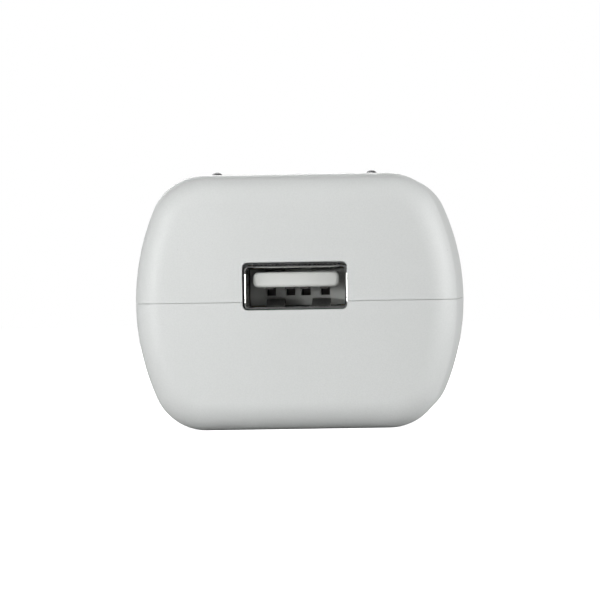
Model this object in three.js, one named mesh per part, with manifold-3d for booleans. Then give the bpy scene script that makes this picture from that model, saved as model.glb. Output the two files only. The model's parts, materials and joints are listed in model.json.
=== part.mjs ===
// A folding-plug USB wall charger, in millimetres.
// +X right seen from the USB end, -Y the USB end, +Z the face that meets the wall socket.
// The origin is under the middle of the body, on the plane it rests on.
import * as THREE from 'three';
import { mergeVertices } from 'three/addons/utils/BufferGeometryUtils.js';
import Module from 'manifold-3d';

const wasm = await Module();
wasm.setup();

// ---------------------------------------------------------------- driving sizes
const BODY = { halfWidth: 20.76, halfHeight: 16.45, halfLength: 31 };
const SIDE_RADIUS = 30.6;
const CORNER_RADIUS = 7;
const END_RADIUS = 3.5;
const WALL = 1.9;
const SEAM_Z = BODY.halfHeight;
const SEAM_GAP = 0.1;
const LIP = { outer: 1.25, inner: WALL, height: 1.2, clearance: 0.3 };
const TOP_Z = 2 * BODY.halfHeight;
const FRONT_Y = -BODY.halfLength;
const LOOSE = 0.3;
const SNUG = 0.1;
const LEG_END = 0.8;

const PORT = { halfWidth: 6.75, bottom: 15.38, top: 21.53, corner: 0.6 };
const COLLAR = { halfWidth: 8.4, top: 22.4, depth: 1.2 };
const USB = {
  halfWidth: 6.65, bottom: 15.53, top: 21.13, wall: 0.3, corner: 0.6,
  front: FRONT_Y + 0.4, rear: -17.2, blockFront: -21,
};
const TONGUE = { halfWidth: 5.55, bottom: 18.45, top: 20.25, front: -29.4, chamfer: 0.35 };
const USB_CONTACT_X = [-3.5, -1, 1, 3.5];
const USB_CONTACT = {
  width: 1, thickness: 0.2, front: -28.7, bow: 0.25, bowAt: 1.5, flatAt: 4, tailY: -16.8, hole: [0.65, 0.35],
};
const CONTACT_SLOT = { halfWidth: 0.6, depth: 1.1 };
const SPRING_WINDOW = { x: 3, halfWidth: 1.2, depth: 1.2 };
const USB_LEG = { y: [-27, -19], halfWidth: 0.8, hole: [0.35, 1] };

const BLADE = {
  x: 6.35, thickness: 1.52, width: 6.35, reach: 20.9, shoulder: 1.7, tip: 2.1, holeAt: 15.8, holeRadius: 1.6,
};
const TAIL = { width: 3, reach: 4.2 };
const PIVOT = { y: FRONT_Y + 8.5, z: TOP_Z - 3.9 };
const RIM = { x: 10, radius: 4.3, halfThickness: 0.9 };
const STUB = { radius: 1.2, end: 12.8 };
const POCKET = { halfWidth: 11.2, halfLength: 4.7, depth: 4.9, sideWall: 2, endWall: 1.1, floor: 1.1 };
const MOUTH = { halfWidth: 8.8, halfLength: 3.9 };
const SLOT = { side: LOOSE, under: 0.35, end: 1.2, wall: 1 };
const FINGER = { radius: 6, depth: 2.4, halfWidth: 10.2, wall: 1.1, beforeSlotEnd: 3 };

const BOARD = { halfWidth: 17.8, front: -28.8, rear: 28.2, bottom: 13.9, thickness: 1.6, corner: 2.2 };
const BOARD_TOP = BOARD.bottom + BOARD.thickness;
const RIB = { x: 17, width: 3, y: 20, halfLength: 1, lowEnd: 5, highEnd: 22 };
const MAINS = {
  width: 3, thickness: 0.3, padZ: 24.3, padEnds: [-2.4, 3.2], runZ: 22.75, downY: 1.8, hole: [1.7, 0.4],
};
const DISC_CAP = { x: 13, y: 3.2, radius: 3.6, halfThickness: 1.5, stand: 1.2, lead: 2 };
const RESISTOR = { x: -13.6, y: 14, radius: 1.7, halfLength: 4.4, stand: 0.4, lead: 1.5, waist: 0.3 };
const CHOKE = { x: 13.4, y: 21, radius: 3.2, height: 8, flange: 1.1, coil: 0.35 };
const BOBBIN_WALL = 0.6;

// ---------------------------------------------------------------- materials
const material = (color, roughness, metalness = 0) =>
  new THREE.MeshStandardMaterial({ color, roughness, metalness });
const MATERIALS = {
  shell: material(0xd5d7d6, 0.55),
  carrier: material(0x45474a, 0.5),
  blade: material(0xd8d8d4, 0.25, 1),
  spring: material(0xc9a35a, 0.35, 1),
  steel: material(0xd6d8da, 0.3, 1),
  insulator: material(0xe6e8e4, 0.5),
  board: material(0x2f6b3c, 0.5),
  ferrite: material(0x2e2d2f, 0.7),
  bobbin: material(0x1f2124, 0.5),
  tape: material(0xe2c12f, 0.45),
  sleeve: material(0x202634, 0.35),
  ceramic: material(0x3a6ea5, 0.4),
  resistor: material(0x6b8f7a, 0.5),
  epoxy: material(0x1a1a1c, 0.5),
};

// ---------------------------------------------------------------- solids
function toSolid(geometry) {
  const bare = geometry.clone();
  bare.deleteAttribute('normal');
  bare.deleteAttribute('uv');
  const merged = mergeVertices(bare, 1e-4);
  return new wasm.Manifold(new wasm.Mesh({
    numProp: 3,
    vertProperties: new Float32Array(merged.attributes.position.array),
    triVerts: new Uint32Array(merged.index.array),
  }));
}

function toGeometry(solid) {
  const mesh = solid.getMesh();
  const geometry = new THREE.BufferGeometry();
  geometry.setAttribute('position', new THREE.BufferAttribute(new Float32Array(mesh.vertProperties), 3));
  geometry.setIndex(new THREE.BufferAttribute(new Uint32Array(mesh.triVerts), 1));
  geometry.computeVertexNormals();
  return geometry;
}

const union = (solids) => solids.reduce((sum, solid) => sum.add(solid));
const cut = (solid, tools) => tools.reduce((rest, tool) => rest.subtract(tool), solid);

function block(low, high) {
  const size = high.map((value, axis) => value - low[axis]);
  const middle = high.map((value, axis) => (value + low[axis]) / 2);
  return toSolid(new THREE.BoxGeometry(...size).translate(...middle));
}

// A flat outline in (x, z), run along Y.
function alongY(shape, y0, y1, curveSegments = 6) {
  const geometry = new THREE.ExtrudeGeometry(shape, { depth: y1 - y0, bevelEnabled: false, curveSegments });
  return toSolid(geometry.rotateX(Math.PI / 2).translate(0, y1, 0));
}

// A flat outline in (y, z), run along X.
function alongX(shape, x0, x1, curveSegments = 6) {
  const geometry = new THREE.ExtrudeGeometry(shape, { depth: x1 - x0, bevelEnabled: false, curveSegments });
  const toYZ = new THREE.Matrix4().makeBasis(
    new THREE.Vector3(0, 1, 0), new THREE.Vector3(0, 0, 1), new THREE.Vector3(1, 0, 0));
  return toSolid(geometry.applyMatrix4(toYZ).translate(x0, 0, 0));
}

// A flat outline in (x, y), run along Z.
function alongZ(shape, z0, z1, curveSegments = 6) {
  const geometry = new THREE.ExtrudeGeometry(shape, { depth: z1 - z0, bevelEnabled: false, curveSegments });
  return toSolid(geometry.translate(0, 0, z0));
}

function roundedRectangle(x0, y0, x1, y1, radius, Kind = THREE.Shape) {
  const outline = new Kind();
  outline.moveTo(x0 + radius, y0);
  outline.lineTo(x1 - radius, y0);
  outline.absarc(x1 - radius, y0 + radius, radius, -Math.PI / 2, 0);
  outline.lineTo(x1, y1 - radius);
  outline.absarc(x1 - radius, y1 - radius, radius, 0, Math.PI / 2);
  outline.lineTo(x0 + radius, y1);
  outline.absarc(x0 + radius, y1 - radius, radius, Math.PI / 2, Math.PI);
  outline.lineTo(x0, y0 + radius);
  outline.absarc(x0 + radius, y0 + radius, radius, Math.PI, 1.5 * Math.PI);
  return outline;
}

// A closed lathe profile of [radius, height] points, its axis turned to point along the given row axis.
function turned(profile, axis, centre, segments = 24) {
  const geometry = new THREE.LatheGeometry(profile.map(([r, h]) => new THREE.Vector2(r, h)), segments);
  if (axis === 'x') geometry.rotateZ(-Math.PI / 2);
  if (axis === 'z') geometry.rotateX(Math.PI / 2);
  return toSolid(geometry.translate(...centre));
}

function rod(radius, length, axis, centre, segments = 16) {
  const half = length / 2;
  return turned([[0, -half], [radius, -half], [radius, half], [0, half]], axis, centre, segments);
}

// A bent strip: its centre line in (y, z), its thickness and its span in X.
function bentStrip(path, thickness, x0, x1) {
  const half = thickness / 2;
  const points = path.map(([y, z]) => new THREE.Vector2(y, z));
  const side = (sign) => points.map((point, i) => {
    const before = points[Math.max(i - 1, 0)];
    const after = points[Math.min(i + 1, points.length - 1)];
    const into = point.equals(before) ? after.clone().sub(point) : point.clone().sub(before);
    const out = point.equals(after) ? into.clone() : after.clone().sub(point);
    const normalIn = new THREE.Vector2(-into.y, into.x).normalize();
    const normalOut = new THREE.Vector2(-out.y, out.x).normalize();
    const mitre = normalIn.clone().add(normalOut).normalize();
    return point.clone().addScaledVector(mitre, sign * half / mitre.dot(normalIn));
  });
  return alongX(new THREE.Shape([...side(1), ...side(-1).reverse()]), x0, x1);
}

// ---------------------------------------------------------------- the body's rounded form
// The cross-section moved inwards: flat top and bottom, arched sides and round corners.
function sectionPoints(inset) {
  const height = BODY.halfHeight - inset;
  const cornerRadius = CORNER_RADIUS - inset;
  const sideCentre = BODY.halfWidth - SIDE_RADIUS;
  const cornerZ = BODY.halfHeight - CORNER_RADIUS;
  const cornerX = sideCentre + Math.sqrt((SIDE_RADIUS - CORNER_RADIUS) ** 2 - cornerZ ** 2);
  const sideAngle = Math.asin(cornerZ / (SIDE_RADIUS - CORNER_RADIUS));
  const quarter = [];
  const sideSteps = 5;
  const cornerSteps = 7;
  for (let i = 0; i < sideSteps; i += 1) {
    const angle = sideAngle * i / sideSteps;
    const radius = SIDE_RADIUS - inset;
    quarter.push([sideCentre + radius * Math.cos(angle), radius * Math.sin(angle)]);
  }
  for (let i = 0; i <= cornerSteps; i += 1) {
    const angle = sideAngle + (Math.PI / 2 - sideAngle) * i / cornerSteps;
    quarter.push([cornerX + cornerRadius * Math.cos(angle), cornerZ + cornerRadius * Math.sin(angle)]);
  }
  quarter[quarter.length - 1][1] = height;
  const left = quarter.map(([x, z]) => [-x, z]).reverse();
  const upper = [...quarter, ...left];
  const lower = upper.slice(1, -1).map(([x, z]) => [x, -z]).reverse();
  return [...upper, ...lower];
}

// The whole body as one solid, its surface moved inwards by the inset.
function bodyForm(inset) {
  const radius = END_RADIUS - inset;
  const steps = 5;
  const rings = [];
  for (let i = 0; i <= steps; i += 1) {
    const angle = (Math.PI / 2) * i / steps;
    const back = inset + radius * (1 - Math.cos(angle));
    rings.push({ y: FRONT_Y + back, inset: inset + radius * (1 - Math.sin(angle)) });
  }
  const rear = rings.map((ring) => ({ y: -ring.y, inset: ring.inset })).reverse();
  const all = [...rings, ...rear];
  const count = sectionPoints(0).length;
  const positions = all.flatMap(
    (ring) => sectionPoints(ring.inset).flatMap(([x, z]) => [x, ring.y, SEAM_Z + z]));
  const index = [];
  for (let k = 0; k + 1 < all.length; k += 1) {
    for (let i = 0; i < count; i += 1) {
      const next = (i + 1) % count;
      const [a, b, d, c] = [k * count + i, k * count + next, (k + 1) * count + i, (k + 1) * count + next];
      index.push(a, d, b, b, d, c);
    }
  }
  const last = (all.length - 1) * count;
  for (let i = 1; i + 1 < count; i += 1) {
    index.push(0, i, i + 1);
    index.push(last, last + i + 1, last + i);
  }
  const geometry = new THREE.BufferGeometry();
  geometry.setAttribute('position', new THREE.BufferAttribute(new Float32Array(positions), 3));
  geometry.setIndex(index);
  return toSolid(geometry);
}

const FAR = 60;
const slab = (z0, z1) => block([-FAR, -FAR, z0], [FAR, FAR, z1]);
const outerForm = bodyForm(0);
const innerForm = bodyForm(WALL);
const skin = outerForm.subtract(innerForm);
const portCut = alongY(
  roundedRectangle(-PORT.halfWidth, PORT.bottom, PORT.halfWidth, PORT.top, PORT.corner),
  FRONT_Y - 1, FRONT_Y + WALL, 4);
const socketCut = alongY(
  roundedRectangle(
    -USB.halfWidth - SNUG, USB.bottom - SNUG, USB.halfWidth + SNUG, USB.top + SNUG, USB.corner + SNUG),
  FRONT_Y - 1, FRONT_Y + WALL + 2 * COLLAR.depth, 4);

function boardRibs(z0, z1) {
  const ribs = [];
  for (const side of [-1, 1]) {
    for (const y of [-RIB.y, RIB.y]) {
      const xs = [side * RIB.x, side * (RIB.x + RIB.width)].sort((a, b) => a - b);
      ribs.push(block([xs[0], y - RIB.halfLength, z0], [xs[1], y + RIB.halfLength, z1]));
    }
  }
  return ribs;
}

// ---------------------------------------------------------------- housing
// The upper shell: the plug's pocket and blade slots, bearings for its stubs, and a finger hollow.
function makeUpperShell() {
  const pocketFloor = PIVOT.z - POCKET.depth;
  const slotHalf = BLADE.thickness / 2 + SLOT.side;
  const slotFloor = PIVOT.z - BLADE.width / 2 - SLOT.under;
  const slotEnd = PIVOT.y + BLADE.reach + SLOT.end;
  const fingerY = slotEnd - FINGER.beforeSlotEnd;
  const fingerX = FINGER.halfWidth + FINGER.wall;
  const fingerHalf = Math.sqrt(FINGER.radius ** 2 - (FINGER.radius - FINGER.depth) ** 2);
  const fingerOut = fingerHalf + FINGER.wall;
  const pocketOut = POCKET.halfLength + POCKET.endWall;
  const contactY = PIVOT.y + MAINS.padEnds[1];
  const added = [
    block(
      [-POCKET.halfWidth - POCKET.sideWall, PIVOT.y - pocketOut, pocketFloor - POCKET.floor],
      [POCKET.halfWidth + POCKET.sideWall, PIVOT.y + pocketOut, TOP_Z]),
    block(
      [-COLLAR.halfWidth, FRONT_Y + WALL, SEAM_Z],
      [COLLAR.halfWidth, FRONT_Y + WALL + COLLAR.depth, COLLAR.top]),
    block(
      [-fingerX, fingerY - fingerOut, TOP_Z - FINGER.depth - FINGER.wall],
      [fingerX, fingerY + fingerOut, TOP_Z]),
    ...boardRibs(SEAM_Z, RIB.highEnd),
  ];
  const removed = [
    block(
      [-POCKET.halfWidth, PIVOT.y - POCKET.halfLength, pocketFloor],
      [POCKET.halfWidth, PIVOT.y + POCKET.halfLength, TOP_Z - WALL]),
    block(
      [-MOUTH.halfWidth, PIVOT.y - MOUTH.halfLength, pocketFloor],
      [MOUTH.halfWidth, PIVOT.y + MOUTH.halfLength, TOP_Z + 1]),
    ...[-1, 1].map((side) => {
      const xs = [side * MOUTH.halfWidth, side * POCKET.halfWidth].sort((a, b) => a - b);
      return block(
        [xs[0], PIVOT.y - POCKET.halfLength, pocketFloor], [xs[1], PIVOT.y + POCKET.halfLength, TOP_Z + 1]);
    }),
    rod(FINGER.radius, 2 * FINGER.halfWidth, 'x', [0, fingerY, TOP_Z + FINGER.radius - FINGER.depth], 40),
    rod(STUB.radius + SNUG, 2 * (STUB.end + LOOSE), 'x', [0, PIVOT.y, PIVOT.z], 24),
    portCut,
    socketCut,
  ];
  for (const x of [-BLADE.x, BLADE.x]) {
    added.push(block(
      [x - slotHalf - SLOT.wall, PIVOT.y, slotFloor - SLOT.wall],
      [x + slotHalf + SLOT.wall, slotEnd + SLOT.wall, TOP_Z]));
    removed.push(block([x - slotHalf, PIVOT.y, slotFloor], [x + slotHalf, slotEnd, TOP_Z + 1]));
    removed.push(block(
      [x - MAINS.width / 2 - LOOSE, contactY - 2 * LOOSE, MAINS.runZ],
      [x + MAINS.width / 2 + LOOSE, contactY + 2 * LOOSE, pocketFloor + SNUG]));
  }
  const lipSpace = bodyForm(LIP.outer - LIP.clearance).subtract(bodyForm(LIP.inner + LIP.clearance))
    .intersect(slab(0, SEAM_Z + LIP.height + LIP.clearance));
  const whole = union([skin, ...added]).intersect(outerForm).intersect(slab(SEAM_Z + SEAM_GAP / 2, FAR));
  const ribFeet = union(boardRibs(BOARD_TOP + SNUG, RIB.highEnd))
    .intersect(bodyForm(LIP.inner + LIP.clearance));
  return cut(whole, [...removed, lipSpace]).add(ribFeet);
}

// The lower shell: a plain tray with a lip inside the seam and ribs under the board.
function makeLowerShell() {
  const lip = bodyForm(LIP.outer).subtract(bodyForm(LIP.inner))
    .intersect(slab(SEAM_Z - 1, SEAM_Z + LIP.height));
  const tray = union([skin, ...boardRibs(RIB.lowEnd, BOARD.bottom - SNUG / 2)])
    .intersect(outerForm)
    .intersect(slab(-1, SEAM_Z - SEAM_GAP / 2));
  const lipGate = block(
    [-PORT.halfWidth - LOOSE, FRONT_Y, SEAM_Z], [PORT.halfWidth + LOOSE, FRONT_Y + 2 * WALL, PORT.top]);
  return cut(tray.add(lip), [portCut, socketCut, lipGate]);
}

// ---------------------------------------------------------------- folding plug, about its own pivot
// A blade lies along +Y from the pivot; a narrow tail behind it wipes the mains contact.
function bladeSolid(x, grow = 0) {
  const half = BLADE.width / 2 + grow;
  const tailHalf = TAIL.width / 2 + grow;
  const { tip } = BLADE;
  const outline = new THREE.Shape();
  outline.moveTo(-TAIL.reach - grow, -tailHalf);
  outline.lineTo(BLADE.shoulder - grow, -tailHalf);
  outline.lineTo(BLADE.shoulder - grow, -half);
  outline.lineTo(BLADE.reach - tip, -half);
  outline.absarc(BLADE.reach - tip, -half + tip, tip, -Math.PI / 2, 0);
  outline.absarc(BLADE.reach - tip, half - tip, tip, 0, Math.PI / 2);
  outline.lineTo(BLADE.shoulder - grow, half);
  outline.lineTo(BLADE.shoulder - grow, tailHalf);
  outline.lineTo(-TAIL.reach - grow, tailHalf);
  outline.closePath();
  const hole = new THREE.Path();
  hole.absarc(BLADE.holeAt, 0, BLADE.holeRadius, 0, 2 * Math.PI, true);
  outline.holes.push(hole);
  const halfThickness = BLADE.thickness / 2 + grow / 2;
  return alongX(outline, x - halfThickness, x + halfThickness, 6);
}

// The barrel between two round-rimmed discs, on two stub axles, slotted for the blades.
function makeCarrier() {
  const barrelRadius = RIM.radius - RIM.halfThickness;
  const rim = (x) => Array.from({ length: 9 }, (_, i) => {
    const angle = Math.PI * (i / 8 - 0.5);
    return [barrelRadius + RIM.halfThickness * Math.cos(angle), x + RIM.halfThickness * Math.sin(angle)];
  });
  const profile = [
    [0, -STUB.end], [STUB.radius, -STUB.end], [STUB.radius, -RIM.x - RIM.halfThickness],
    ...rim(-RIM.x), ...rim(RIM.x),
    [STUB.radius, RIM.x + RIM.halfThickness], [STUB.radius, STUB.end], [0, STUB.end],
  ];
  const barrel = turned(profile, 'x', [0, 0, 0], 40);
  return cut(barrel, [-BLADE.x, BLADE.x].map((x) => bladeSolid(x, SNUG)));
}

// ---------------------------------------------------------------- mains contacts
function makeMainsContact(x) {
  const [padFront, padRear] = MAINS.padEnds.map((offset) => PIVOT.y + offset);
  const path = [
    [padFront, MAINS.padZ], [padRear, MAINS.padZ], [padRear, MAINS.runZ - SNUG],
    [MAINS.downY, MAINS.runZ - SNUG], [MAINS.downY, BOARD.bottom - LEG_END],
  ];
  return bentStrip(path, MAINS.thickness, x - MAINS.width / 2, x + MAINS.width / 2);
}

// ---------------------------------------------------------------- USB socket
function makeUsbShell() {
  const ring = roundedRectangle(-USB.halfWidth, USB.bottom, USB.halfWidth, USB.top, USB.corner);
  ring.holes.push(roundedRectangle(
    -USB.halfWidth + USB.wall, USB.bottom + USB.wall, USB.halfWidth - USB.wall, USB.top - USB.wall,
    USB.corner - USB.wall, THREE.Path));
  const legs = [];
  for (const y of USB_LEG.y) {
    for (const side of [-1, 1]) {
      const xs = [side * (USB.halfWidth - USB.wall), side * USB.halfWidth].sort((a, b) => a - b);
      legs.push(block(
        [xs[0], y - USB_LEG.halfWidth, BOARD.bottom - LEG_END],
        [xs[1], y + USB_LEG.halfWidth, USB.bottom + 1]));
    }
  }
  return union([alongY(ring, USB.front, USB.rear, 4), ...legs]);
}

// The rear block with its contact slots, and the tongue standing out of it.
function makeUsbInsulator() {
  const inside = USB.halfWidth - USB.wall - SNUG;
  const floor = USB.bottom + USB.wall + SNUG;
  const rear = block([-inside, USB.blockFront, floor], [inside, USB.rear - SNUG, USB.top - USB.wall - SNUG]);
  const side = new THREE.Shape();
  side.moveTo(USB.blockFront + 1, TONGUE.bottom);
  side.lineTo(TONGUE.front + TONGUE.chamfer, TONGUE.bottom);
  side.lineTo(TONGUE.front, TONGUE.bottom + TONGUE.chamfer);
  side.lineTo(TONGUE.front, TONGUE.top - TONGUE.chamfer);
  side.lineTo(TONGUE.front + TONGUE.chamfer, TONGUE.top);
  side.lineTo(USB.blockFront + 1, TONGUE.top);
  side.closePath();
  const tongue = alongX(side, -TONGUE.halfWidth, TONGUE.halfWidth);
  const slots = USB_CONTACT_X.map((x) => block(
    [x - CONTACT_SLOT.halfWidth, USB.blockFront - 1, TONGUE.bottom - CONTACT_SLOT.depth],
    [x + CONTACT_SLOT.halfWidth, USB.rear + 1, TONGUE.bottom]));
  const windows = [-SPRING_WINDOW.x, SPRING_WINDOW.x].map((x) => block(
    [x - SPRING_WINDOW.halfWidth, USB.blockFront - 1, floor - 1],
    [x + SPRING_WINDOW.halfWidth, USB.blockFront + SPRING_WINDOW.depth, floor + 1]));
  return cut(rear.add(tongue), [...slots, ...windows]);
}

function makeUsbContact(x) {
  const z = TONGUE.bottom - SNUG / 2 - USB_CONTACT.thickness / 2;
  const path = [
    [USB_CONTACT.front, z],
    [USB_CONTACT.front + USB_CONTACT.bowAt, z - USB_CONTACT.bow],
    [USB_CONTACT.front + USB_CONTACT.flatAt, z],
    [USB_CONTACT.tailY, z], [USB_CONTACT.tailY, BOARD.bottom - LEG_END],
  ];
  return bentStrip(path, USB_CONTACT.thickness, x - USB_CONTACT.width / 2, x + USB_CONTACT.width / 2);
}

// ---------------------------------------------------------------- parts on the board
// Upright sign: 1 on top of the board, -1 hanging under it.
const faceOf = (sign) => (sign > 0 ? BOARD_TOP + SNUG : BOARD.bottom - SNUG);

const LYING_CAPS = {
  input_capacitor_left: { x: -9.2, y: [6, 20], radius: 4, sign: -1, lead: 1.4 },
  input_capacitor_right: { x: 9.2, y: [6, 20], radius: 4, sign: -1, lead: 1.4 },
  output_capacitor_left: { x: -11.2, y: [-12, -1], radius: 3.15, sign: 1, lead: 1 },
  output_capacitor_right: { x: 11.2, y: [-12, -1], radius: 3.15, sign: 1, lead: 1 },
};
const CAN = { edge: 0.5, groove: [1.8, 2.4], grooveDepth: 0.35 };
const LEAD = 0.3;
const LEAD_BEND = 1.2;
const LEAD_HOLE = 0.5;

// An electrolytic can lying on the board, its two leads bent through it.
function makeLyingCapacitor({ x, y, radius, sign, lead }) {
  const z = faceOf(sign) + sign * (radius + SNUG);
  const groove = CAN.groove.map((offset) => y[0] + offset);
  const can = turned([
    [0, y[0]], [radius - CAN.edge, y[0]], [radius, y[0] + CAN.edge],
    [radius, groove[0]], [radius - CAN.grooveDepth, (groove[0] + groove[1]) / 2], [radius, groove[1]],
    [radius, y[1] - CAN.edge], [radius - CAN.edge, y[1]], [0, y[1]],
  ], 'y', [x, 0, z], 28);
  const farSide = sign > 0 ? BOARD.bottom - LEG_END : BOARD_TOP + LEG_END;
  const path = [[y[0] + CAN.edge, z], [y[0] - LEAD_BEND, z], [y[0] - LEAD_BEND, farSide]];
  const leads = [x - lead, x + lead].map((leadX) => bentStrip(path, 2 * LEAD, leadX - LEAD, leadX + LEAD));
  return union([can, ...leads]);
}

const TRANSFORMER = {
  y: 15.5, z: 23, core: [8.6, 7.2, 2.6], yoke: 2.1, leg: 2.2, outerLeg: 2, winding: [5.9, 4.15, 6.7],
};

// One half of the ferrite core: a yoke with three legs reaching to the middle.
function makeCoreHalf(sign) {
  const { y, z, core, yoke, leg, outerLeg } = TRANSFORMER;
  const span = (near, far) => [y + sign * near, y + sign * far].sort((a, b) => a - b);
  const [yokeLow, yokeHigh] = span(core[1] - yoke, core[1]);
  const [legLow, legHigh] = span(SEAM_GAP / 2, core[1] - 1);
  return union([
    block([-core[0], yokeLow, z - core[2]], [core[0], yokeHigh, z + core[2]]),
    block([-leg, legLow, z - core[2]], [leg, legHigh, z + core[2]]),
    block([-core[0], legLow, z - core[2]], [-core[0] + outerLeg, legHigh, z + core[2]]),
    block([core[0] - outerLeg, legLow, z - core[2]], [core[0], legHigh, z + core[2]]),
  ]);
}

// The bobbin: a square tube on the middle leg, with end flanges that stand on the board.
function makeBobbin() {
  const { y, z, core, yoke, leg, outerLeg } = TRANSFORMER;
  const reach = core[1] - yoke - SNUG;
  const tubeX = leg + SNUG + BOBBIN_WALL;
  const tubeZ = core[2] + SNUG + BOBBIN_WALL;
  const flangeX = core[0] - outerLeg - SNUG;
  const flanges = [-1, 1].map((sign) => {
    const ys = [y + sign * (reach - BOBBIN_WALL), y + sign * reach].sort((a, b) => a - b);
    return block([-flangeX, ys[0], BOARD_TOP + SNUG], [flangeX, ys[1], z + TRANSFORMER.winding[2] + LOOSE]);
  });
  const tube = block([-tubeX, y - reach, z - tubeZ], [tubeX, y + reach, z + tubeZ]);
  const bore = block(
    [-leg - SNUG, y - reach - 1, z - core[2] - SNUG], [leg + SNUG, y + reach + 1, z + core[2] + SNUG]);
  return union([tube, ...flanges]).subtract(bore);
}

// The copper coils under their yellow tape, wrapped round the bobbin's tube.
function makeWinding() {
  const { y, z, core, leg, winding } = TRANSFORMER;
  const ring = roundedRectangle(-winding[0], z - winding[2], winding[0], z + winding[2], 2);
  const inner = [leg + 2 * SNUG + BOBBIN_WALL, core[2] + 2 * SNUG + BOBBIN_WALL];
  ring.holes.push(roundedRectangle(-inner[0], z - inner[1], inner[0], z + inner[1], SNUG, THREE.Path));
  return alongY(ring, y - winding[1], y + winding[1], 5);
}

// The disc capacitor that bridges the two sides, standing across the board on two leads.
function makeDiscCapacitor() {
  const { x, y, radius, halfThickness, stand, lead } = DISC_CAP;
  const z = BOARD_TOP + radius + stand;
  const edge = halfThickness - 0.5;
  const disc = turned([
    [0, -halfThickness], [radius - 1, -halfThickness], [radius - 0.3, -edge], [radius, 0],
    [radius - 0.3, edge], [radius - 1, halfThickness], [0, halfThickness],
  ], 'y', [x, y, z], 24);
  const leadEnd = BOARD.bottom - LEG_END;
  const middleZ = (z + leadEnd) / 2;
  const leads = [x - lead, x + lead].map((leadX) => rod(LEAD, z - leadEnd, 'z', [leadX, y, middleZ], 8));
  return union([disc, ...leads]);
}

// The fusible resistor: a waisted body lying along the left edge, leads bent down at both ends.
function makeFusibleResistor() {
  const { x, y, radius, halfLength, stand, lead, waist } = RESISTOR;
  const z = BOARD_TOP + radius + stand;
  const half = [
    [radius - 0.4, halfLength], [radius, halfLength - 0.5], [radius, halfLength - 1.8],
    [radius - waist, halfLength - 2.4],
  ];
  const otherHalf = half.map(([r, h]) => [r, -h]);
  const profile = [[0, -halfLength], ...otherHalf, ...half.reverse(), [0, halfLength]];
  const body = turned(profile, 'y', [x, y, z], 20);
  const leads = [-1, 1].map((sign) => bentStrip(
    [[y + sign * (halfLength - 0.5), z], [y + sign * (halfLength + lead), z],
      [y + sign * (halfLength + lead), BOARD.bottom - LEG_END]],
    2 * LEAD, x - LEAD, x + LEAD));
  return union([body, ...leads]);
}

// The drum choke: a ferrite bobbin with its coil between two flanges, standing upright.
function makeChoke() {
  const { x, y, radius, height, flange, coil } = CHOKE;
  const inner = radius - coil;
  return turned([
    [0, 0], [radius, 0], [radius, flange], [inner, flange + 0.2],
    [inner, height - flange - 0.2], [radius, height - flange], [radius, height], [0, height],
  ], 'z', [x, y, BOARD_TOP + SNUG], 28);
}

const CHIPS = {
  bridge_rectifier: { x: 13.2, y: 12.6, size: [3.8, 4.6, 2.3], pitch: 2.5, pins: 2, sign: 1 },
  controller_chip: { x: 0, y: -4, size: [4.9, 3.9, 1.5], pitch: 1.27, pins: 4, sign: -1 },
  output_rectifier: { x: -11, y: -18, size: [4.4, 5.6, 1.6], pitch: 2.6, pins: 2, sign: -1 },
};

// A moulded chip with gull-wing legs along its two long sides.
function makeChip({ x, y, size, pitch, pins, sign }) {
  const face = faceOf(sign);
  const level = (height) => face + sign * height;
  const between = (a, b) => [level(a), level(b)].sort((p, q) => p - q);
  const [bodyLow, bodyHigh] = between(0.15, size[2]);
  const solids = [block(
    [x - size[0] / 2, y - size[1] / 2, bodyLow], [x + size[0] / 2, y + size[1] / 2, bodyHigh])];
  for (let i = 0; i < pins; i += 1) {
    const legX = x + (i - (pins - 1) / 2) * pitch;
    for (const side of [-1, 1]) {
      const edge = y + side * size[1] / 2;
      solids.push(bentStrip([
        [edge - side * 0.4, level(size[2] * 0.5)], [edge + side * 0.5, level(size[2] * 0.5)],
        [edge + side * 0.6, level(0.1)], [edge + side * 1.2, level(0.1)],
      ], 0.2, legX - 0.22, legX + 0.22));
    }
  }
  return union(solids);
}

// ---------------------------------------------------------------- board
// A rounded rectangle drilled for every lead and leg that goes through it.
function makeBoard() {
  const outline = roundedRectangle(-BOARD.halfWidth, BOARD.front, BOARD.halfWidth, BOARD.rear, BOARD.corner);
  const plate = alongZ(outline, BOARD.bottom, BOARD_TOP, 5);
  const through = (x, y, halfX, halfY) => block(
    [x - halfX, y - halfY, BOARD.bottom - 1], [x + halfX, y + halfY, BOARD_TOP + 1]);
  const holes = [];
  for (const side of [-1, 1]) {
    for (const y of USB_LEG.y) holes.push(through(side * (USB.halfWidth - USB.wall / 2), y, ...USB_LEG.hole));
    holes.push(through(side * BLADE.x, MAINS.downY, ...MAINS.hole));
  }
  for (const x of USB_CONTACT_X) holes.push(through(x, USB_CONTACT.tailY, ...USB_CONTACT.hole));
  for (const { x, y, lead } of Object.values(LYING_CAPS)) {
    for (const leadX of [x - lead, x + lead]) {
      holes.push(through(leadX, y[0] - LEAD_BEND, LEAD_HOLE, LEAD_HOLE));
    }
  }
  const resistorReach = RESISTOR.halfLength + RESISTOR.lead;
  for (const side of [-1, 1]) {
    holes.push(through(DISC_CAP.x + side * DISC_CAP.lead, DISC_CAP.y, LEAD_HOLE, LEAD_HOLE));
    holes.push(through(RESISTOR.x, RESISTOR.y + side * resistorReach, LEAD_HOLE, LEAD_HOLE));
  }
  return cut(plate, holes);
}

// ---------------------------------------------------------------- assembly
function place(group, name, solid, slot) {
  const mesh = new THREE.Mesh(toGeometry(solid), MATERIALS[slot]);
  mesh.name = name;
  group.add(mesh);
}

const charger = new THREE.Group();
charger.name = 'usb_wall_charger';

const housing = new THREE.Group();
place(housing, 'upper_shell', makeUpperShell(), 'shell');
place(housing, 'lower_shell', makeLowerShell(), 'shell');

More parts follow.
